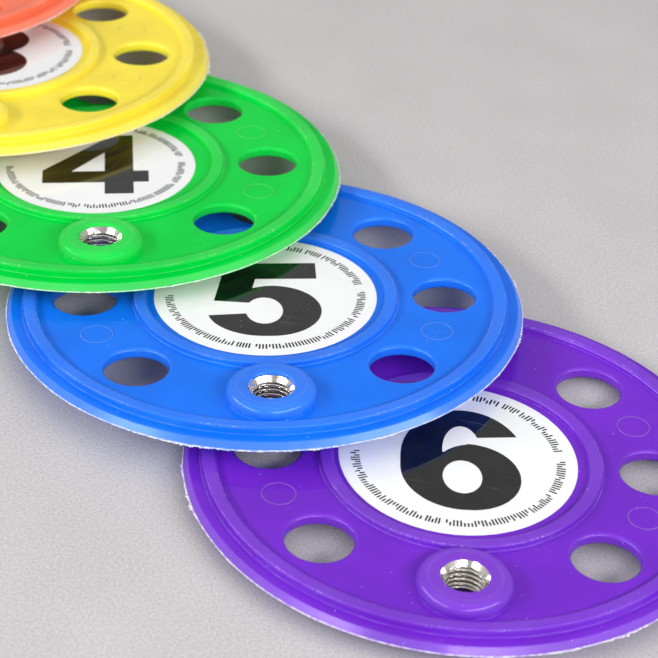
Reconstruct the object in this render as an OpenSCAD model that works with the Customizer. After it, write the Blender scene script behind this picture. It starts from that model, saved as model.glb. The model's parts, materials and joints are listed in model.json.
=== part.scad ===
// A set of six numbered sinking dive discs, laid out as a fan: disc 6 lies on the floor and each
// disc after it leans on the one before. Every disc is a moulded plastic body with seven holes, a
// boss with a steel nut moulded in as its weight, a round label, and a numeral printed on the label.
// Millimetres, +Z up, floor at z = 0, origin on the floor under the middle of the whole fan.

/* [Disc body] */
// diameter of the disc over its flange
disc_d = 200; // [190:1:200]
// thickness of the flange at the rim
flange_t = 3.2; // [3:0.1:3.2]
// thickness of the flat web that carries the holes
web_t = 4.6; // [3.6:0.2:4.6]
// width of the broad bevel along the upper edge of the rim
rim_bevel_w = 2.4; // [1.6:0.2:2.6]
// height of that bevel
rim_bevel_h = 2.4; // [1.6:0.2:2.4]
// size of the small bevel along the lower edge of the rim
rim_corner = 0.4; // [0.2:0.1:0.5]

/* [Raised rings] */
// outside diameter of the outer ring
outer_ring_d = 186.4; // [182:0.2:186.4]
// width of the outer ring
outer_ring_w = 5.4; // [4:0.2:5.4]
// overall height of the outer ring, both faces together
outer_ring_t = 9; // [7:0.2:9]
// outside diameter of the inner ring
inner_ring_d = 102; // [100:0.2:102]
// width of the inner ring
inner_ring_w = 5; // [4:0.2:5]
// overall height of the inner ring, both faces together
inner_ring_t = 8.8; // [7:0.2:8.8]
// rounding along the top of both rings
ring_round = 1.4; // [0.6:0.2:1.8]

/* [Holes] */
// diameter of the seven through holes
hole_d = 24.2; // [20:0.2:25.2]
// diameter of the circle that the holes and the boss stand on
hole_circle_d = 139.2; // [138.6:0.2:139.4]
// bevel around both edges of each hole
hole_bevel = 0.8; // [0.2:0.1:0.8]

/* [Boss and weight nut] */
// diameter of the boss
boss_d = 33.2; // [32:0.2:33.2]
// overall height of the boss, both faces together
boss_t = 14.8; // [14.6:0.1:14.8]
// rounding around both ends of the boss
boss_round = 3.2; // [1:0.2:3.4]
// diameter of the mouth above and below the nut
mouth_d = 16.6; // [16.4:0.1:17.6]
// thread diameter of the nut
thread_d = 16; // [15:0.5:16]
// thread pitch of the nut
thread_pitch = 2; // [1.5:0.5:2]
// width across the flats of the nut
nut_af = 24; // [22:0.5:24]
// thickness of the nut
nut_t = 13; // [10:0.5:13]

/* [Label] */
// diameter of the round label
label_d = 85.8; // [80:0.2:86]
// thickness of the label film
label_t = 0.2; // [0.1:0.05:0.3]
// thickness of the printed numeral
ink_t = 0.08; // [0.04:0.02:0.1]

/* [Hidden] */
$fn = 96;

purple = [0.45, 0.16, 0.75];
blue = [0.16, 0.42, 0.95];
green = [0.02, 0.72, 0.18];
yellow = [1.0, 0.84, 0.12];
orange = [1.0, 0.40, 0.22];
red = [0.90, 0.10, 0.10];
steel = [0.72, 0.72, 0.70];
film = [0.96, 0.96, 0.95];
ink = [0.09, 0.09, 0.09];

hole_pitch = 45;                          // eight stations: seven holes and the boss
boss_r = hole_circle_d / 2;
minor_d = thread_d - 1.0825 * thread_pitch;   // crest diameter of a metric internal thread
sink_d = 1.05 * thread_d;                 // countersink at both ends of the thread
sink_t = (sink_d - minor_d) / 2 * tan(30);
corner_d = nut_af / cos(30);
label_z = web_t / 2;
ink_z = label_z + label_t;
slack = 0.01;                             // how far a cutter runs past the face it cuts

// How each disc lies, from the one flat on the floor to the last one laid down:
// [x, y, height of its middle, tilt, heading it leans to, heading of its boss]
fan_middle = [-158.2, 204.0];
lie_6 = [0, 0, 6.3, 1.13, 87.3, -92];
lie_5 = [-72.1, 87.9, 11.8, 4.5, 119.2, -87.3];
lie_4 = [-142.6, 177.3, 12.35, 4.85, 114.7, -85.7];
lie_3 = [-200.8, 263.3, 14.21, 6.02, 107.9, -88.6];
lie_2 = [-258.5, 335.2, 15.94, 7.11, 104.1, -88.6];
lie_1 = [-316.5, 408.2, 16.78, 7.64, 104.0, -90];

// how far each nut sits above the middle of its boss
nut_lift_6 = 0.6;
nut_lift_5 = -0.8;
nut_lift_4 = -0.3;
nut_lift_3 = 0;
nut_lift_2 = 0;
nut_lift_1 = 0;

// Moves a disc from its own frame (boss along +X, middle at the origin) to its place in the fan.
module placed(lie) {
    translate([lie[0] - fan_middle[0], lie[1] - fan_middle[1], lie[2]])
        rotate(a = lie[3], v = [-sin(lie[4]), cos(lie[4]), 0])
            rotate([0, 0, lie[5]])
                children();
}

// Section of a raised ring from radius r0 to r1, with both its lips rounded.
module ring_section(r0, r1, t, round) {
    translate([r0, round - t / 2]) square([r1 - r0, t - 2 * round]);
    translate([r0 + round, -t / 2]) square([r1 - r0 - 2 * round, t]);
    for (r = [r0 + round, r1 - round], side = [-1, 1])
        translate([r, side * (t / 2 - round)]) circle(r = round);
}

// Section of a solid round body, rounded on its outer edge only.
module round_section(r1, t, round) {
    translate([0, round - t / 2]) square([r1, t - 2 * round]);
    translate([0, -t / 2]) square([r1 - round, t]);
    for (side = [-1, 1])
        translate([r1 - round, side * (t / 2 - round)]) circle(r = round);
}

// Section of the flange, out to the rim with its two bevels.
module flange_section() {
    rim = disc_d / 2;
    polygon([[0, -flange_t / 2], [rim - rim_corner, -flange_t / 2],
             [rim, rim_corner - flange_t / 2], [rim, flange_t / 2 - rim_bevel_h],
             [rim - rim_bevel_w, flange_t / 2], [0, flange_t / 2]]);
}

module plate() {
    rotate_extrude() {
        translate([0, -web_t / 2]) square([outer_ring_d / 2 - outer_ring_w / 2, web_t]);
        flange_section();
        ring_section(outer_ring_d / 2 - outer_ring_w, outer_ring_d / 2, outer_ring_t, ring_round);
        ring_section(inner_ring_d / 2 - inner_ring_w, inner_ring_d / 2, inner_ring_t, ring_round);
    }
    translate([boss_r, 0, 0]) rotate_extrude() round_section(boss_d / 2, boss_t, boss_round);
}

module hole() {
    cylinder(d = hole_d, h = web_t + 2 * slack, center = true);
    for (side = [0, 1])
        mirror([0, 0, side])
            translate([0, 0, web_t / 2 - hole_bevel])
                cylinder(d1 = hole_d, d2 = hole_d + 2 * (hole_bevel + slack), h = hole_bevel + slack);
}

// Outside shape of the nut, which is also the pocket that the plastic leaves for it.
module nut_blank() {
    cylinder(d = corner_d, h = nut_t, center = true, $fn = 6);
}

module disc_body(tint, lift) {
    color(tint)
        difference() {
            plate();
            for (k = [1 : 7])
                rotate([0, 0, k * hole_pitch]) translate([boss_r, 0, 0]) hole();
            translate([boss_r, 0, 0]) {
                cylinder(d = mouth_d, h = boss_t + 2 * slack, center = true);
                translate([0, 0, lift]) nut_blank();
            }
        }
}

module weight_nut(lift) {
    color(steel)
        translate([boss_r, 0, lift])
            difference() {
                nut_blank();
                cylinder(d = minor_d, h = nut_t + 2 * slack, center = true);
                for (side = [0, 1])
                    mirror([0, 0, side])
                        translate([0, 0, nut_t / 2 - sink_t])
                            cylinder(d1 = minor_d, d2 = sink_d, h = sink_t + slack / 100);
            }
}

module label_film() {
    color(film) translate([0, 0, label_z]) cylinder(d = label_d, h = label_t);
}

// Points along an upright ellipse about c, from angle a0 to angle a1, 5 degrees apart or less.
function arc(c, rx, ry, a0, a1) =
    let (n = ceil(abs(a1 - a0) / 5))
    [for (i = [0 : n]) let (a = a0 + (a1 - a0) * i / n) [c[0] + rx * cos(a), c[1] + ry * sin(a)]];

// The numerals stand upright with their feet towards the boss. x is to the reader's right.
module six_outline() {
    difference() {
        polygon(concat(arc([1, 0], 22.8, 29, 31, 180), arc([0.5, -6], 22.3, 23, 180, 270),
                       arc([2.5, -10], 18.9, 18.9, -90, 90), arc([5, -7], 14.5, 15.8, 100, 140),
                       arc([0.3, 5], 7, 14.3, 186, 34)));
        polygon(arc([0.4, -10.4], 7.1, 9.4, 0, 355));
    }
}

module five_outline() {
    polygon(concat([[-15, 24.5], [20.3, 24.5], [20.3, 12.6], [-3.7, 12.6], [-5, 5.7]],
                   arc([3, -8], 17, 15.3, 115, 90), arc([2, -11], 19.2, 18.3, 85, -90),
                   arc([-0.5, -11], 22, 18.3, -95, -170), [[-7.9, -13.1]],
                   arc([-0.8, -11], 7.2, 9.6, 194, 502), [[-7.9, -5], [-20, -3.4]]));
}

module four_outline() {
    difference() {
        polygon([[4.4, 25], [13.4, 25], [13.4, -7.3], [19.7, -7.3], [19.7, -17], [13.4, -17],
                 [13.4, -27], [1.6, -27], [1.6, -17], [-24, -17], [-24, -6]]);
        polygon([[-12.2, -7.3], [1.6, -7.3], [1.6, 9.7]]);
    }
}

module three_outline() {
    polygon(concat(arc([-0.6, 12], 19.4, 15.6, 188, -50), arc([-1, -12.3], 20.6, 16.7, 48, -172),
                   [[-8.6, -12.2]], arc([-1.2, -12.4], 7.3, 7.8, 184, 440),
                   [[-5.4, -4.7], [-5.4, 4.9]], arc([-1.2, 11.6], 6.6, 6.6, -80, 176)));
}

module two_outline() {
    polygon(concat(arc([0, 10], 20.6, 17.6, 190, -28),
                   [[-1.6, -15.6], [20.8, -15.6], [20.8, -27.4], [-21, -27.4]],
                   arc([-1, -24], 20, 19, 176, 124), arc([0.2, 10], 6.6, 7.4, -34, 176)));
}

module one_outline() {
    polygon(concat([[2, 27], [10.4, 27], [10.4, -27], [-3.6, -27], [-3.6, 10.6], [-15.6, 10.6],
                    [-15.6, 18.8]], arc([-14, 34], 19, 15, -85, -32)));
}

module printed() {
    color(ink) translate([0, 0, ink_z]) rotate([0, 0, 90]) linear_extrude(ink_t) children();
}

module disc_6() { placed(lie_6) disc_body(purple, nut_lift_6); }
module nut_6() { placed(lie_6) weight_nut(nut_lift_6); }
module label_6() { placed(lie_6) label_film(); }
module numeral_6() { placed(lie_6) printed() six_outline(); }

module disc_5() { placed(lie_5) disc_body(blue, nut_lift_5); }
module nut_5() { placed(lie_5) weight_nut(nut_lift_5); }
module label_5() { placed(lie_5) label_film(); }
module numeral_5() { placed(lie_5) printed() five_outline(); }

module disc_4() { placed(lie_4) disc_body(green, nut_lift_4); }
module nut_4() { placed(lie_4) weight_nut(nut_lift_4); }
module label_4() { placed(lie_4) label_film(); }
module numeral_4() { placed(lie_4) printed() four_outline(); }

module disc_3() { placed(lie_3) disc_body(yellow, nut_lift_3); }
module nut_3() { placed(lie_3) weight_nut(nut_lift_3); }
module label_3() { placed(lie_3) label_film(); }
module numeral_3() { placed(lie_3) printed() three_outline(); }

module disc_2() { placed(lie_2) disc_body(orange, nut_lift_2); }
module nut_2() { placed(lie_2) weight_nut(nut_lift_2); }
module label_2() { placed(lie_2) label_film(); }
module numeral_2() { placed(lie_2) printed() two_outline(); }

module disc_1() { placed(lie_1) disc_body(red, nut_lift_1); }
module nut_1() { placed(lie_1) weight_nut(nut_lift_1); }
module label_1() { placed(lie_1) label_film(); }
module numeral_1() { placed(lie_1) printed() one_outline(); }

disc_6();
nut_6();
label_6();
numeral_6();
disc_5();
nut_5();
label_5();
numeral_5();
disc_4();
nut_4();
label_4();
numeral_4();
disc_3();
nut_3();
label_3();
numeral_3();
disc_2();
nut_2();
label_2();
numeral_2();
disc_1();
nut_1();
label_1();
numeral_1();
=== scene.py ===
"""Looks for the set of numbered dive discs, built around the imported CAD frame.

Every disc is modelled in its own frame (boss along +X, middle at the origin, millimetres) and placed
by the frame's threaded hole and label. World units are metres, +Z up.
"""

import json
import math
import random

import bmesh
import bpy
from mathutils import Matrix, Vector, noise


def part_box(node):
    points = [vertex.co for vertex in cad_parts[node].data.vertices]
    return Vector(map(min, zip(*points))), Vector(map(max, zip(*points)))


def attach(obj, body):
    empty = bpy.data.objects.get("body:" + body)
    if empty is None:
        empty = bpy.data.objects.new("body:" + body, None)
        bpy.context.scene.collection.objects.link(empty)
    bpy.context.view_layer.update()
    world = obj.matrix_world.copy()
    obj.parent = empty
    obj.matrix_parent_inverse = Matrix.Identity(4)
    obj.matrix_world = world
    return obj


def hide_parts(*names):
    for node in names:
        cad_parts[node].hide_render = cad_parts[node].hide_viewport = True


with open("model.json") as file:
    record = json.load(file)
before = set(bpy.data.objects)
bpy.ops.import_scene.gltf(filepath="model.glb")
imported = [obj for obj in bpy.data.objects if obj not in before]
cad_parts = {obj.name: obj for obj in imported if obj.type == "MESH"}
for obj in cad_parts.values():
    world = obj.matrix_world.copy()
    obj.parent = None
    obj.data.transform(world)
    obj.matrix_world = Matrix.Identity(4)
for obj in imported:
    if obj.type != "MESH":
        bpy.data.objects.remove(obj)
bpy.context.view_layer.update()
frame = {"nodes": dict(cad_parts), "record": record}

# ---------------------------------------------------------------- sizes, in millimetres

MM = 0.001
NUMBERS = (6, 5, 4, 3, 2, 1)
COLOUR_NAMES = {6: "purple", 5: "blue", 4: "green", 3: "yellow", 2: "orange", 1: "red"}

STATIONS = 8                # seven holes and the boss, evenly spaced
STATION_R = 69.6            # radius of the circle that they stand on
WEB_Z = 2.3                 # half thickness of the web
FLANGE_Z = 1.6              # half thickness of the flange
RIM_R = 99.9                # at the parting line, low on the rim
RIM_TOP_R = 97.8            # where the flange's top turns down into the rim's sloped band
PARTING_Z = -1.25           # height at which the two mould halves meet
OUTER_RING = (87.8, 93.2, 4.5)      # inside radius, outside radius, half height
INNER_RING = (46.0, 51.0, 4.4)
HOLE_R = 12.1
HOLE_ROUND = 1.5
BOSS_R = 16.6
BOSS_Z = 7.4                # half height of the boss
BOSS_ROUND = 3.4
MOUTH_R = 8.3               # the boss's opening over the nut
MOUTH_ROUND = 1.6
NUT_APOTHEM = 12.0
NUT_HALF = 6.5              # half height of the nut
THREAD_MAJOR_R = 8.0
THREAD_MINOR_R = 6.92
THREAD_PITCH = 2.0
SINK_R = 8.35               # radius of the thread's lead-in at the nut's face
SINK_SLOPE = 0.68           # how much the lead-in narrows per millimetre of depth
LEAD_IN = 0.7               # depth at which the thread begins
LABEL_R = 43.2
LABEL_T = 0.2               # thickness
LABEL_SHIFT = {6: (-0.6, -1.0), 5: (-0.5, 0.0), 4: (1.9, -2.0)}     # labels stuck on off centre
LABEL_SCALE = {4: 0.957}    # a label that was cut smaller
PIN_MARK_R = 6.0            # rings that the mould's ejector pins leave between some of the holes
PIN_MARK_ANGLES = (67.5, 112.5, 247.5, 292.5)
PIN_MARK_REACH = 40.0       # all four marks are nearer than this to the disc's middle, along x

SECTOR_STEPS = 32           # mesh steps along a sector's arc
SIDE_STEPS = 14             # mesh steps along a sector's straight side
ROUND = SECTOR_STEPS * STATIONS
NUT_GAP = 0.02              # clearance between the nut and its pocket
FOOT = 0.8                  # width of the strip at a ring's foot that belongs to the ring's profile
DRAFT = 0.15                # how far a tapered wall stands off its nominal radius at one end


# ---------------------------------------------------------------- placing

def disc_frame(number):
    """Matrix from a disc's own frame to the world, and the lift of its nut, both read from the frame."""
    mount = next(m for m in frame["record"]["mounts"] if m["name"] == f"thread_{number}")
    normal = Vector(mount["axis"]).normalized()
    nut = Vector(mount["pos_m"])
    low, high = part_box(f"label_{number}")
    middle = (low + high) / 2 - normal * (WEB_Z + LABEL_T / 2) * MM
    lift = (nut - middle).dot(normal) / MM
    toward_boss = nut - middle
    x = (toward_boss - normal * toward_boss.dot(normal)).normalized()
    y = normal.cross(x)
    return Matrix(((x.x, y.x, normal.x, middle.x), (x.y, y.y, normal.y, middle.y),
                   (x.z, y.z, normal.z, middle.z), (0, 0, 0, 1))), lift


# ---------------------------------------------------------------- mesh tools

def rounded(corners, steps=5):
    """Points of a polyline through (r, z, radius) corners, each corner turned into an arc."""
    points = []
    for i, (r, z, radius) in enumerate(corners):
        here = Vector((r, z))
        if radius == 0 or i in (0, len(corners) - 1):
            points.append((r, z))
            continue
        back = (Vector(corners[i - 1][:2]) - here).normalized()
        ahead = (Vector(corners[i + 1][:2]) - here).normalized()
        corner = back.angle(ahead)
        start = here + back * radius / math.tan(corner / 2)
        end = here + ahead * radius / math.tan(corner / 2)
        middle = here + (back + ahead).normalized() * radius / math.sin(corner / 2)
        sweep = math.pi - corner
        for k in range(steps + 1):
            t = k / steps
            arm = ((start - middle) * math.sin((1 - t) * sweep)
                   + (end - middle) * math.sin(t * sweep)) / math.sin(sweep)
            points.append(tuple(middle + arm))
    return points


def turn(angle):
    """Unit vector at an angle in degrees."""
    return math.cos(math.radians(angle)), math.sin(math.radians(angle))


class Skin:
    """Collects vertices and faces in millimetres, then makes one mesh object of them."""

    def __init__(self):
        self.points, self.faces = [], []

    def loop(self, points):
        first = len(self.points)
        self.points += [tuple(c * MM for c in p) for p in points]
        return list(range(first, len(self.points)))

    def circle(self, r, z, angles, centre=(0.0, 0.0)):
        return self.loop([(centre[0] + r * turn(a)[0], centre[1] + r * turn(a)[1], z)
                          for a in angles])

    def bridge(self, a, b):
        for i in range(len(a)):
            j = (i + 1) % len(a)
            self.faces.append((a[i], a[j], b[j], b[i]))

    def stack(self, loops):
        for a, b in zip(loops, loops[1:]):
            self.bridge(a, b)

    def cap(self, loop, point):
        middle = self.loop([point])[0]
        for i, a in enumerate(loop):
            self.faces.append((a, loop[(i + 1) % len(loop)], middle))

    def make(self, name, weighted=True):
        mesh = bpy.data.meshes.new(name)
        mesh.from_pydata(self.points, [], self.faces)
        shape = bmesh.new()
        shape.from_mesh(mesh)
        bmesh.ops.recalc_face_normals(shape, faces=shape.faces)
        shape.to_mesh(mesh)
        shape.free()
        mesh.shade_smooth()
        obj = bpy.data.objects.new(name, mesh)
        bpy.context.scene.collection.objects.link(obj)
        if weighted:
            obj.modifiers.new("weighted_normals", "WEIGHTED_NORMAL").weight = 90
        return obj


# ---------------------------------------------------------------- disc body

def mirror_z(profile):
    return [(r, -z) for r, z in reversed(profile)]


def inner_profile():
    """The label's recess and the inner ring, from near the middle out to the web."""
    r0, r1, top = INNER_RING
    recess = [(6, WEB_Z), (24, WEB_Z), (42, WEB_Z)]
    return recess + rounded([
        (44, WEB_Z, 0), (r0 - DRAFT, WEB_Z, 0.6), (r0 + 0.1, top, 1.5),
        (r1 - 0.1, top, 0.5), (r1 + DRAFT, WEB_Z, 0.5), (r1 + FOOT, WEB_Z, 0)])


def outer_profile():
    """The outer ring, the flange and the rim, from the web on top round to the web below."""
    r0, r1, top = OUTER_RING
    upper = [(r0 - FOOT, WEB_Z, 0), (r0 - DRAFT, WEB_Z, 0.5), (r0 + 0.1, top, 1.9),
             (r1 - 0.1, top, 0.45), (r1 + DRAFT, FLANGE_Z, 0.4)]
    lower = [(r, -z, c) for r, z, c in reversed(upper)]
    rim = [(RIM_TOP_R, FLANGE_Z, 0.45), (RIM_R, PARTING_Z, 0.12), (RIM_R - 0.25, -FLANGE_Z, 0.15)]
    return rounded(upper + rim + lower)


def hole_profile():
    """Wall of a through hole, from the web on top to the web below."""
    half = rounded([(HOLE_R + 1.9, WEB_Z, 0), (HOLE_R, WEB_Z, HOLE_ROUND), (HOLE_R, 0, 0)])[:-1]
    return half + mirror_z(half)


def boss_half(nut_top):
    """Outside of the boss from the web up, over its top and down into the mouth above the nut."""
    lip = min(MOUTH_ROUND, BOSS_Z - nut_top - 0.05)
    return rounded([
        (BOSS_R + 0.6, WEB_Z, 0), (BOSS_R + 0.05, WEB_Z, 0.4), (BOSS_R - DRAFT, BOSS_Z, BOSS_ROUND),
        (MOUTH_R, BOSS_Z, lip), (MOUTH_R, BOSS_Z - 2 * lip, 0)], steps=8)[:-1]


def hexagon_r(angle):
    """Radius of the nut's outline at an angle in degrees, with a corner at 0."""
    return NUT_APOTHEM / math.cos(math.radians(angle % 60 - 30))


def hexagon(skin, gap, z, angles, centre):
    return skin.loop([(centre[0] + (hexagon_r(a) + gap) * turn(a)[0],
                       centre[1] + (hexagon_r(a) + gap) * turn(a)[1], z) for a in angles])


def station_loops(skin, boss, angles, centre, lift):
    """Loops of a station's surface from the web on top to the web below."""
    if not boss:
        return [skin.circle(r, z, angles, centre) for r, z in hole_profile()]
    top, bottom = lift + NUT_HALF + NUT_GAP, lift - NUT_HALF - NUT_GAP
    upper = [skin.circle(r, z, angles, centre) for r, z in boss_half(NUT_HALF + lift)]
    lower = [skin.circle(r, z, angles, centre) for r, z in mirror_z(boss_half(NUT_HALF - lift))]
    pocket = [skin.circle(MOUTH_R, top, angles, centre),
              hexagon(skin, NUT_GAP, top, angles, centre),
              hexagon(skin, NUT_GAP, bottom, angles, centre),
              skin.circle(MOUTH_R, bottom, angles, centre)]
    return upper + pocket + lower


def side_edges(skin, inner, outer, r0, r1, z):
    """The straight edges between sectors, each a list of vertices from the inner loop to the outer."""
    edges = []
    for k in range(STATIONS):
        c, s = turn((k - 0.5) * 360 / STATIONS)
        radii = [r0 + (r1 - r0) * i / SIDE_STEPS for i in range(1, SIDE_STEPS)]
        inside = skin.loop([(r * c, r * s, z) for r in radii])
        edges.append([inner[k * SECTOR_STEPS]] + inside + [outer[k * SECTOR_STEPS]])
    return edges


def sector_outline(k, inner, outer, edges):
    """Vertices round a sector, starting at its inner corner and going along its first side."""
    first, last = k * SECTOR_STEPS, (k + 1) * SECTOR_STEPS
    arc_out = [outer[j % ROUND] for j in range(first, last)]
    arc_in = [inner[j % ROUND] for j in range(last, first, -1)]
    return edges[k][:-1] + arc_out + edges[(k + 1) % STATIONS][:0:-1] + arc_in


def sector(skin, k, faces, lift):
    """One eighth of the web on both faces, with its hole, or with the boss when k is 0."""
    c, s = turn(k * 360 / STATIONS)
    centre = (STATION_R * c, STATION_R * s)
    over, under = [sector_outline(k, *face) for face in faces]
    angles = [math.degrees(math.atan2(skin.points[v][1] / MM - centre[1],
                                      skin.points[v][0] / MM - centre[0])) for v in over]
    skin.stack([over] + station_loops(skin, k == 0, angles, centre, lift) + [under])


def pin_mark(skin, angle):
    """A faint raised ring that an ejector pin leaves on the web."""
    tube, buried, tube_sides, steps = 0.40, 0.20, 6, 48
    centre = [STATION_R * c for c in turn(angle)]
    around = [a * 360 / steps for a in range(steps)]
    section = [turn(t * 360 / tube_sides) for t in range(tube_sides)]
    rings = [skin.circle(PIN_MARK_R + tube * c, WEB_Z - buried + tube * s, around, centre)
             for c, s in section]
    skin.stack(rings + rings[:1])


def disc_body(name, lift):
    skin = Skin()
    round_angles = [(j / SECTOR_STEPS - 0.5) * 360 / STATIONS for j in range(ROUND)]
    over = [skin.circle(r, z, round_angles) for r, z in inner_profile()]
    under = [skin.circle(r, -z, round_angles) for r, z in inner_profile()]
    rim = [skin.circle(r, z, round_angles) for r, z in outer_profile()]
    for loops, side in ((over, 1), (under, -1)):
        skin.stack(loops)
        skin.cap(loops[0], (0, 0, side * WEB_Z))
    skin.stack(rim)
    r0, r1 = INNER_RING[1] + FOOT, OUTER_RING[0] - FOOT
    faces = [(over[-1], rim[0], side_edges(skin, over[-1], rim[0], r0, r1, WEB_Z)),
             (under[-1], rim[-1], side_edges(skin, under[-1], rim[-1], r0, r1, -WEB_Z))]
    for k in range(STATIONS):
        sector(skin, k, faces, lift)
    for angle in PIN_MARK_ANGLES:
        pin_mark(skin, angle)
    return skin.make(name)


def flash(name, seed):
    """The thin ragged fin left along the parting line at the lower edge of the rim."""
    steps, burst_count, root = 1400, 26, RIM_R - 0.35
    draw = random.Random(seed)
    bursts = [(draw.uniform(0, 360), draw.uniform(1.0, 7.0), draw.uniform(0.25, 1.0))
              for _ in range(burst_count)]      # (angle, half width in degrees, strength)
    skin = Skin()
    loops = [[], [], []]
    for i in range(steps):
        angle = 360 * i / steps
        c, s = turn(angle)
        burst = sum(size * max(0, 1 - (((angle - at + 180) % 360 - 180) / width) ** 2)
                    for at, width, size in bursts)
        rag = abs(noise.noise(Vector((c * 60, s * 60, seed)))) + 0.5 * abs(
            noise.noise(Vector((c * 190, s * 190, seed + 3.0))))
        smooth = 0.02 + 0.32 * max(0.0, noise.noise(Vector((c * 9, s * 9, seed))))
        reach = smooth + 1.5 * burst * rag
        curl = max(-0.3, 0.5 * burst * noise.noise(Vector((c * 45, s * 45, seed + 7.0))))
        section = ((root, PARTING_Z + 0.45), (RIM_R + reach, PARTING_Z + 0.15 + curl),
                   (root, PARTING_Z - 0.15))
        for loop, (r, z) in zip(loops, section):
            loop.append((r * c, r * s, z))
    rings = [skin.loop(points) for points in loops]
    skin.stack(rings + rings[:1])
    return skin.make(name, weighted=False)


# ---------------------------------------------------------------- nut, label and print

def thread_r(angle, z):
    """Radius of the threaded bore: a 60 degree thread with a smooth lead-in at both ends."""
    crest, root = THREAD_PITCH / 4, THREAD_PITCH / 8
    along = (z - THREAD_PITCH * angle / 360) % THREAD_PITCH
    off_root = abs(along - THREAD_PITCH / 2) - root / 2
    flank = (THREAD_PITCH - crest - root) / 2
    rise = min(1.0, max(0.0, off_root / flank))
    fade = min(1.0, max(0.0, (NUT_HALF - abs(z) - LEAD_IN) / THREAD_PITCH))
    r = THREAD_MINOR_R + (THREAD_MAJOR_R - THREAD_MINOR_R) * (1 - rise) * fade
    sink = SINK_R - (NUT_HALF - abs(z)) * SINK_SLOPE
    return max(r, sink)


def weight_nut(name, lift):
    skin = Skin()
    steps, rows = 96, 130
    angles = [a * 360 / steps for a in range(steps)]
    centre = (STATION_R, 0.0)
    bore = []
    for i in range(rows + 1):
        z = NUT_HALF * (2 * i / rows - 1)
        bore.append(skin.loop([(centre[0] + thread_r(a, z) * turn(a)[0],
                                centre[1] + thread_r(a, z) * turn(a)[1], z + lift)
                               for a in angles]))
    outside = [hexagon(skin, 0, z + lift, angles, centre) for z in (NUT_HALF, -NUT_HALF)]
    skin.stack(bore + outside + bore[:1])
    obj = skin.make(name, weighted=False)
    obj.data.set_sharp_from_angle(angle=math.radians(40))
    return obj


def label_film(name, seed, shift, scale):
    """A round film, very slightly uneven where it has settled on the plastic."""
    skin = Skin()
    steps, dip, glue, edge_drop = 160, 0.05, 0.004, 0.08
    angles = [a * 360 / steps for a in range(steps)]

    def height(x, y):
        return WEB_Z + LABEL_T - dip * (0.5 + 0.5 * noise.noise(Vector((x / 17, y / 17, seed))))

    dx, dy = shift
    rim = LABEL_R * scale
    radii = [2, 5, *range(9, 38, 4), 40, rim - 0.6, rim - 0.15, rim]
    top = [skin.loop([(dx + r * turn(a)[0], dy + r * turn(a)[1],
                       height(r * turn(a)[0], r * turn(a)[1]) - (edge_drop if r == rim else 0))
                      for a in angles]) for r in radii]
    bottom = [skin.circle(r, WEB_Z + glue, angles, shift) for r in (rim, radii[0])]
    skin.stack(top + bottom)
    skin.cap(top[0], (dx, dy, height(0, 0)))
    skin.cap(bottom[-1], (dx, dy, WEB_Z + glue))
    return skin.make(name)


# Groups of plain strokes round the label: (start, end) in degrees from the boss side.
STROKE_GROUPS = ((92, 82), (80, 64), (60, 43), (40, 32), (30, -7), (-11, -18), (-21, -58),
                 (-60, -90), (140, 102), (152, 143), (170, 156), (205, 174), (222, 210))


def strokes(name, seed, shift, scale):
    """Plain printed strokes that stand where a real label carries small print."""
    skin, draw = Skin(), random.Random(seed)
    inner, outer, half_width = 35.6 * scale, 38.8 * scale, 0.31 * scale
    buried, proud, label_top = 0.03, 0.04, WEB_Z + LABEL_T
    pitch, parts = 1.95, ((0, 1), (0, 1), (0, 1), (0, 0.62), (0.38, 1))
    for start, end in STROKE_GROUPS:
        count = round(abs(start - end) / pitch)
        for i in range(count + 1):
            angle = start + (end - start) * i / max(1, count)
            low, high = draw.choice(parts)
            r0, r1 = inner + (outer - inner) * low, inner + (outer - inner) * high
            c, s = turn(angle)
            corners = ((r0, -half_width), (r1, -half_width), (r1, half_width), (r0, half_width))
            loops = [skin.loop([(shift[0] + r * c - w * s, shift[1] + r * s + w * c, z)
                                for r, w in corners])
                     for z in (label_top - buried, label_top + proud)]
            skin.bridge(*loops)
            skin.faces += [tuple(loops[0]), tuple(loops[1])]
    obj = skin.make(name, weighted=False)
    obj.data.shade_flat()
    return obj


# ---------------------------------------------------------------- material tools

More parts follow.
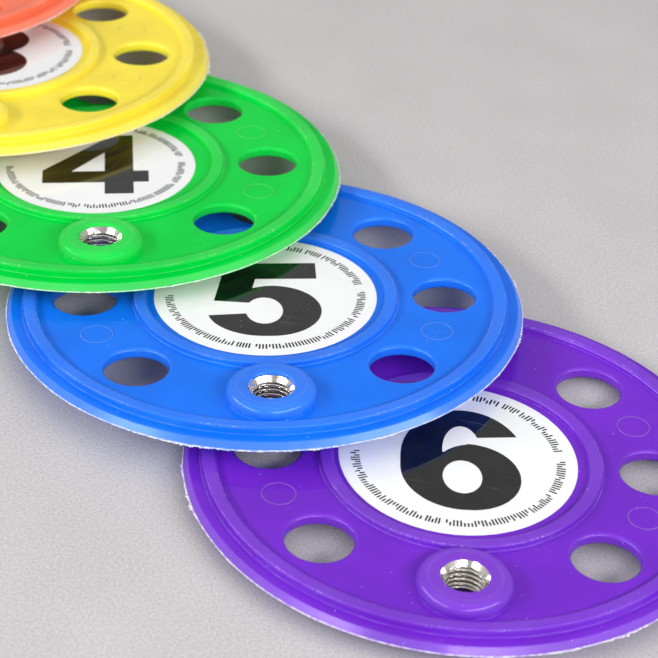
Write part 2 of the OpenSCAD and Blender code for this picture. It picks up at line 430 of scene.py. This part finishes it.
class Shader:
    """Short calls for making one node material."""

    def __init__(self, name):
        self.material = bpy.data.materials.new(name)
        self.material.use_nodes = True
        self.tree = self.material.node_tree
        self.tree.nodes.clear()
        self.out = self.tree.nodes.new("ShaderNodeOutputMaterial")

    def node(self, kind, inputs=None, output=0, **settings):
        made = self.tree.nodes.new("ShaderNode" + kind)
        for key, value in settings.items():
            setattr(made, key, value)
        for key, value in (inputs or {}).items():
            if isinstance(value, bpy.types.NodeSocket):
                self.tree.links.new(value, made.inputs[key])
            else:
                made.inputs[key].default_value = value
        return made.outputs[output]

    def math(self, operation, a, b=0.0, clamp=False):
        return self.node("Math", {0: a, 1: b}, operation=operation, use_clamp=clamp)

    def place(self):
        """Position in the object's own frame, in millimetres."""
        spot = self.node("TexCoord", output="Object")
        return self.node("VectorMath", {0: spot, "Scale": 1 / MM}, operation="SCALE")

    def noise(self, place, scale, detail=2.0, rough=0.5):
        return self.node("TexNoise", {"Vector": place, "Scale": scale, "Detail": detail,
                                      "Roughness": rough}, noise_type="FBM")

    def ramp(self, value, low, high, to_low=0.0, to_high=1.0):
        return self.node("MapRange", {"Value": value, "From Min": low, "From Max": high,
                                      "To Min": to_low, "To Max": to_high},
                         interpolation_type="SMOOTHSTEP")

    def mix(self, share, a, b):
        return self.node("Mix", {"Factor": share, 6: a, 7: b}, output=2, data_type="RGBA")

    def band(self, value, middle, half):
        """1 where value is at middle, falling to 0 at half a width away."""
        away = self.math("ABSOLUTE", self.math("SUBTRACT", value, middle))
        return self.ramp(away, 0.0, half, 1.0, 0.0)

    def specks(self, place, scale, size, share):
        """Small round specks: one in some cells of a grid of random points."""
        cell = {"Vector": place, "Scale": scale}
        near = self.node("TexVoronoi", cell, output="Distance")
        pick = self.node("TexVoronoi", cell, output="Color")
        chosen = self.math("LESS_THAN", self.node("SeparateColor", {0: pick}), share)
        return self.times(self.ramp(near, size * 0.5, size, 1.0, 0.0), chosen)

    def scratches(self, place, angle, share):
        """Sparse fine straight lines at one heading."""
        turned = self.node("VectorRotate", {"Vector": place, "Angle": math.radians(angle)},
                           rotation_type="Z_AXIS")
        long = self.node("VectorMath", {0: turned, 1: (0.035, 2.4, 0.2)}, operation="MULTIPLY")
        line = self.ramp(self.noise(long, 1.0, 1.0), 0.70, 0.76)
        where = self.ramp(self.noise(place, 0.05, 1.0), 1 - share, 1.0 - share + 0.1)
        return self.times(line, where)

    def station_distance(self, xyz, turned=0.0):
        """Distance from the nearest of eight evenly spaced places on the station circle."""
        x, y = xyz.outputs["X"], xyz.outputs["Y"]
        step = 2 * math.pi / STATIONS
        angle = self.math("ADD", self.math("ARCTAN2", y, x), step / 2 - turned)
        nearest = self.math("ADD", self.math("SNAP", angle, step), turned)
        aside = self.math("SUBTRACT", x, self.times(self.math("COSINE", nearest), STATION_R))
        along = self.math("SUBTRACT", y, self.times(self.math("SINE", nearest), STATION_R))
        return self.math("SQRT", self.math("ADD", self.times(aside, aside),
                                           self.times(along, along)))

    def total(self, *values):
        result = values[0]
        for value in values[1:]:
            result = self.math("ADD", result, value)
        return result

    def times(self, *values):
        result = values[0]
        for value in values[1:]:
            result = self.math("MULTIPLY", result, value)
        return result

    def bump(self, height, distance, strength, under=None):
        inputs = {"Height": height, "Distance": distance * MM, "Strength": strength}
        if under is not None:
            inputs["Normal"] = under
        return self.node("Bump", inputs)

    def finish(self, glow=None, **inputs):
        """Principled surface, with a share of light let through where glow = (share, colour) is given."""
        surface = self.node("BsdfPrincipled", {k.replace("_", " "): v for k, v in inputs.items()})
        if glow:
            share, colour = glow
            through = self.node("BsdfTranslucent", {"Color": colour})
            surface = self.node("MixShader", {0: share, 1: surface, 2: through})
        self.tree.links.new(surface, self.out.inputs["Surface"])
        return self.material


def rgb(r, g, b):
    return (r, g, b, 1.0)


def paler(colour, share):
    """A colour mixed with white, where share is how much of it is white."""
    return tuple(share + (1 - share) * c for c in colour[:3]) + (1.0,)


# ---------------------------------------------------------------- materials

# Base colour, tint of the reflection, share of light let through, strength of the reflection.
PLASTIC = {
    6: (rgb(0.194, 0.024, 0.645), rgb(0.85, 0.72, 1.0), 0.2, 0.5),
    5: (rgb(0.006, 0.200, 0.960), rgb(0.60, 0.85, 1.0), 0.2, 0.5),
    4: (rgb(0.0, 0.665, 0.060), rgb(0.0, 1.0, 0.40), 0.12, 0.28),
    3: (rgb(1.0, 0.800, 0.046), rgb(1.0, 1.0, 0.8), 0.06, 0.5),
    2: (rgb(1.0, 0.185, 0.085), rgb(1.0, 0.8, 0.8), 0.06, 0.5),
    1: (rgb(0.850, 0.018, 0.018), rgb(1.0, 0.8, 0.8), 0.12, 0.4),
}


def pin_marks_and_painted_highlights(m, here, xyz, r):
    """Paler places: painted highlights on the tops of the raised faces, on the rim's upper sloped band
    and round the hole edges, and the ejector pin marks that the mould leaves.
    """
    z = xyz.outputs["Z"]
    # Painted highlight: the tops of the rings and the boss, above 2.9 mm, made paler as if lit from
    # above.
    raised = m.times(m.ramp(z, 2.9, 4.3), m.ramp(m.noise(here, 0.05, 3.0), 0.3, 0.7, 0.6, 1.0))
    # Painted highlight: the rim's upper sloped band, from where the flange turns down to the parting
    # line, made paler as a sheen.
    band = m.times(m.ramp(r, RIM_TOP_R - 0.2, RIM_TOP_R + 0.4), m.math("GREATER_THAN", z, PARTING_Z))
    # Painted highlight: a pale ring round each hole's rounded edge, on both faces, broken up by noise.
    edge = m.times(m.band(m.station_distance(xyz), HOLE_R + 0.5, 0.9),
                   m.ramp(m.noise(here, 0.15, 2.0), 0.3, 0.7, 0.4, 1.0))
    near = m.math("LESS_THAN", m.math("ABSOLUTE", xyz.outputs["X"]), PIN_MARK_REACH)
    pins = m.times(m.band(m.station_distance(xyz, math.pi / STATIONS), PIN_MARK_R, 0.35), near,
                   m.ramp(z, 0.0, 1.0))
    return m.total(m.times(raised, 0.07), m.times(band, 0.12), m.times(pins, 0.22),
                   m.times(edge, 0.06))


def wear_and_painted_foot_highlight(m, here, xyz, r):
    """Paler places that use leaves: scuffed lips and rim, specks and scratches; and a painted highlight
    along the ring feet.
    """
    grit = m.ramp(m.noise(here, 0.9, 4.0, 0.65), 0.48, 0.66)
    patchy = m.ramp(m.noise(here, 0.05, 2.0), 0.44, 0.58)
    lips = m.total(m.band(r, OUTER_RING[1] - 0.3, 0.45), m.band(r, INNER_RING[1] - 0.3, 0.45),
                   m.band(r, OUTER_RING[0] + 0.8, 0.6))
    lip_wear = m.times(lips, m.ramp(xyz.outputs["Z"], 3.4, 4.2), grit, patchy)
    # Painted highlight: a thin pale line along the outer foot of each ring, where the fillet would catch
    # the light, broken up by noise.
    feet = m.total(m.band(r, OUTER_RING[1] + 0.55, 0.3), m.band(r, INNER_RING[1] + 0.55, 0.3))
    painted_foot_highlight = m.times(feet, m.ramp(m.noise(here, 0.12, 3.0), 0.35, 0.65, 0.25, 1.0))
    rim = m.times(m.ramp(r, RIM_R - 0.4, RIM_R), m.ramp(m.noise(here, 0.7, 3.0), 0.50, 0.66))
    specks = m.total(m.specks(here, 0.16, 0.05, 0.45), m.specks(here, 0.4, 0.07, 0.14),
                     m.specks(here, 0.9, 0.09, 0.05))
    lines = m.total(m.scratches(here, 25, 0.45), m.scratches(here, -50, 0.42),
                    m.scratches(here, 80, 0.40))
    return m.total(m.times(lip_wear, 0.42), m.times(painted_foot_highlight, 0.30), m.times(rim, 0.35),
                   m.times(specks, 0.75), m.times(lines, 0.09))


def plastic(number):
    """Moulded plastic: glossy, slightly translucent, paler where the mould or use has marked it and where
    highlights are painted on raised faces, the rim's sloped band, hole edges and ring feet.

    Noise is read at here, the position moved by the disc's number, so no two discs share their marks.
    """
    base, tint, through, gloss = PLASTIC[number]
    m = Shader(f"plastic_{COLOUR_NAMES[number]}")
    here = m.node("VectorMath", {0: m.place(), 1: (number * 31.0, number * 17.0, 0)}, operation="ADD")
    xyz = m.node("SeparateXYZ", {0: m.place()}).node
    flat = m.node("CombineXYZ", {"X": xyz.outputs["X"], "Y": xyz.outputs["Y"]})
    r = m.node("VectorMath", {0: flat}, output="Value", operation="LENGTH")
    # share adds the real marks and wear to the painted highlights, and pales the colour by that much.
    share = m.math("MINIMUM", m.total(pin_marks_and_painted_highlights(m, here, xyz, r), wear_and_painted_foot_highlight(m, here, xyz, r)), 0.85)
    cloud = m.ramp(m.noise(here, 0.035, 3.0), 0.3, 0.7, 0.92, 1.05)
    tinted = m.node("VectorMath", {0: base[:3], "Scale": cloud}, operation="SCALE")
    colour = m.mix(share, tinted, paler(base, 0.55))
    rough = m.total(m.ramp(m.noise(here, 0.25, 4.0), 0.35, 0.7, 0.13, 0.20), m.times(share, 0.3))
    peel = m.bump(m.noise(here, 0.22, 2.0), 0.18, 0.16)
    fine = m.bump(m.noise(here, 2.2, 3.0), 0.01, 0.25, peel)
    cut = m.bump(share, 0.03, 0.5, fine)
    return m.finish(glow=(through, base), Base_Color=colour, Roughness=rough, Normal=cut,
                    Specular_Tint=tint, Specular_IOR_Level=gloss, Subsurface_Weight=0.20,
                    Subsurface_Radius=(1.0, 1.0, 1.0), Subsurface_Scale=1.6 * MM)


def torn_plastic(number):
    """The stress-whitened flash: the disc's plastic gone pale and ragged."""
    base = PLASTIC[number][0]
    m = Shader(f"flash_{COLOUR_NAMES[number]}")
    here = m.place()
    colour = m.mix(m.ramp(m.noise(here, 0.6, 4.0, 0.7), 0.38, 0.6), paler(base, 0.35),
                   paler(base, 0.88))
    rough = m.ramp(m.noise(here, 1.5, 2.0), 0.3, 0.7, 0.4, 0.7)
    return m.finish(Base_Color=colour, Roughness=rough, Subsurface_Weight=0.4,
                    Subsurface_Radius=(1.0, 1.0, 1.0), Subsurface_Scale=1.0 * MM,
                    Normal=m.bump(m.noise(here, 3.0, 4.0), 0.1, 0.6))


def zinc_steel(number):
    """Bright plated steel with a thin brownish tarnish in patches."""
    m = Shader(f"steel_{number}")
    here = m.node("VectorMath", {0: m.place(), 1: (number * 9.0, 0, 0)}, operation="ADD")
    patch = m.ramp(m.noise(here, 0.5, 4.0, 0.6), 0.45, 0.7)
    grain = m.noise(here, 4.0, 3.0, 0.7)
    clean = rgb(0.86, 0.83, 0.78)
    dull = rgb(0.40, 0.33, 0.28)
    colour = m.mix(m.times(patch, 0.35), clean, dull)
    rough = m.total(m.ramp(grain, 0.3, 0.7, 0.10, 0.18), m.times(patch, 0.12))
    return m.finish(Base_Color=colour, Metallic=1.0, Roughness=rough,
                    Normal=m.bump(grain, 0.015, 0.3))


def vinyl():
    """Glossy white label film."""
    m = Shader("label_vinyl")
    here = m.place()
    cloud = m.ramp(m.noise(here, 0.06, 3.0), 0.3, 0.7)
    specks = m.specks(here, 0.22, 0.04, 0.25)
    colour = m.mix(cloud, rgb(0.835, 0.840, 0.845), rgb(0.865, 0.870, 0.875))
    colour = m.mix(m.times(specks, 0.35), colour, rgb(0.35, 0.33, 0.32))
    rough = m.ramp(m.noise(here, 0.3, 3.0), 0.3, 0.7, 0.07, 0.13)
    return m.finish(Base_Color=colour, Roughness=rough, IOR=1.75,
                    Normal=m.bump(m.noise(here, 0.12, 2.0), 0.05, 0.25))


def printed_ink(name):
    """Glossy black print with a few bright specks and hairline scratches."""
    m = Shader(name)
    here = m.place()
    specks = m.total(m.specks(here, 0.20, 0.045, 0.5), m.specks(here, 0.45, 0.06, 0.15))
    lines = m.total(m.scratches(here, 15, 0.5), m.scratches(here, -65, 0.5))
    worn = m.total(m.times(specks, 0.8), m.times(lines, 0.12))
    cloud = m.ramp(m.noise(here, 0.1, 3.0), 0.3, 0.7)
    black = m.mix(cloud, rgb(0.004, 0.004, 0.005), rgb(0.009, 0.009, 0.010))
    colour = m.mix(m.math("MINIMUM", worn, 0.9), black, rgb(0.6, 0.6, 0.62))
    rough = m.ramp(m.noise(here, 0.3, 3.0), 0.3, 0.7, 0.06, 0.12)
    return m.finish(Base_Color=colour, Roughness=rough, IOR=1.75,
                    Normal=m.bump(m.noise(here, 0.12, 2.0), 0.05, 0.25))


def paper_floor():
    """Pale seamless studio paper with a fine grain."""
    m = Shader("floor_paper")
    here = m.place()
    grain = m.noise(here, 1.1, 4.0, 0.7)
    cloud = m.noise(here, 0.02, 3.0)
    value = m.total(m.ramp(grain, 0.3, 0.7, -0.5, 0.5), m.ramp(cloud, 0.3, 0.7, -0.07, 0.07))
    share = m.math("ADD", value, 0.5, clamp=True)
    colour = m.mix(share, rgb(0.405, 0.390, 0.394), rgb(0.585, 0.563, 0.568))
    return m.finish(Base_Color=colour, Roughness=0.75, Specular_IOR_Level=0.2,
                    Normal=m.bump(grain, 0.12, 0.5))


# ---------------------------------------------------------------- build the set

def place(obj, matrix, body, material, slot, replaced=()):
    obj.matrix_world = matrix
    obj.data.materials.append(material)
    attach(obj, body)
    if replaced:
        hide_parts(*replaced)


film, ink = vinyl(), printed_ink("ink_black")
for number in NUMBERS:
    matrix, lift = disc_frame(number)
    body = f"diver_{number}"
    colour_slot = f"plastic_{COLOUR_NAMES[number]}"
    place(disc_body(f"disc_body_{number}", lift), matrix, body, plastic(number), colour_slot,
          (f"disc_{number}",))
    place(flash(f"rim_flash_{number}", number), matrix, body, torn_plastic(number), colour_slot)
    place(weight_nut(f"weight_nut_{number}", lift), matrix, body, zinc_steel(number), "steel",
          (f"nut_{number}",))
    shift = LABEL_SHIFT.get(number, (0.0, 0.0))
    scale = LABEL_SCALE.get(number, 1.0)
    place(label_film(f"label_film_{number}", number, shift, scale), matrix, body, film, "film",
          (f"label_{number}",))
    place(strokes(f"label_strokes_{number}", number, shift, scale), matrix, body, ink, "ink")
    numeral = frame["nodes"][f"numeral_{number}"].data
    numeral.materials.clear()
    numeral.materials.append(ink)


# ---------------------------------------------------------------- floor, light and camera

def floor():
    shape = bmesh.new()
    bmesh.ops.create_grid(shape, x_segments=8, y_segments=8, size=4.0)
    mesh = bpy.data.meshes.new("studio_floor")
    shape.to_mesh(mesh)
    shape.free()
    obj = bpy.data.objects.new("studio_floor", mesh)
    bpy.context.scene.collection.objects.link(obj)
    mesh.materials.append(paper_floor())


def softbox(name, position, width, height, power):
    """A soft rectangular light that faces the middle of the set and isn't seen by the camera."""
    light = bpy.data.lights.new(name, "AREA")
    light.shape, light.size, light.size_y = "RECTANGLE", width, height
    light.energy = power
    obj = bpy.data.objects.new(name, light)
    obj.location = position
    obj.rotation_mode = "QUATERNION"
    obj.rotation_quaternion = (-Vector(position)).to_track_quat("-Z", "Y")
    obj.visible_camera = False
    bpy.context.scene.collection.objects.link(obj)


# Brightness of the room by the sine of the height above the horizon.
ROOM = ((0.0, 0.45), (0.35, 0.45), (0.58, 0.37), (0.70, 0.40), (0.92, 0.78))


def surroundings():
    """A pale room: a bright ceiling, a dimmer wall and pale paper round the horizon."""
    world = bpy.data.worlds.new("studio")
    world.use_nodes = True
    tree = world.node_tree
    spot = tree.nodes.new("ShaderNodeTexCoord")
    parts = tree.nodes.new("ShaderNodeSeparateXYZ")
    rise = tree.nodes.new("ShaderNodeValToRGB")
    while len(rise.color_ramp.elements) < len(ROOM):
        rise.color_ramp.elements.new(1.0)
    for stop, (height, level) in zip(rise.color_ramp.elements, ROOM):
        stop.position, stop.color = height, rgb(level, level, level)
    tree.links.new(spot.outputs["Generated"], parts.inputs[0])
    tree.links.new(parts.outputs["Z"], rise.inputs["Fac"])
    back = tree.nodes["Background"]
    back.inputs["Strength"].default_value = 1.0
    tree.links.new(rise.outputs["Color"], back.inputs["Color"])
    bpy.context.scene.world = world


CAMERA_AT = (0.0767, -0.8522, 0.5326)
CAMERA_AHEAD = (0.0383, 0.8095, -0.5858)
CAMERA_UP = (-0.0477, 0.5871, 0.8081)
CAMERA_LENS = 127.1
FOCUS_AT = (0.12, -0.165, 0.01)     # on the discs, a little below the middle of the view


def camera():
    """The photograph's viewpoint: a long lens in front of the fan, looking down by 36 degrees."""
    at, ahead = Vector(CAMERA_AT), Vector(CAMERA_AHEAD).normalized()
    right = ahead.cross(Vector(CAMERA_UP)).normalized()
    up = right.cross(ahead)
    data = bpy.data.cameras.new("camera")
    data.lens, data.sensor_width = CAMERA_LENS, 36.0
    obj = bpy.data.objects.new("camera", data)
    obj.matrix_world = Matrix(((right.x, up.x, -ahead.x, at.x), (right.y, up.y, -ahead.y, at.y),
                               (right.z, up.z, -ahead.z, at.z), (0, 0, 0, 1)))
    bpy.context.scene.collection.objects.link(obj)
    focus = bpy.data.objects.new("focus_point", None)
    focus.location = FOCUS_AT
    bpy.context.scene.collection.objects.link(focus)
    data.dof.use_dof = True
    data.dof.focus_object = focus
    data.dof.aperture_fstop = 22
    bpy.context.scene.camera = obj


floor()
surroundings()
softbox("softbox_left", (-1.41, -0.51, 0.88), width=2.6, height=0.3, power=27)
softbox("softbox_right", (0.94, -1.17, 0.88), width=2.2, height=0.3, power=24)
camera()
bpy.context.scene.view_settings.view_transform = "Standard"
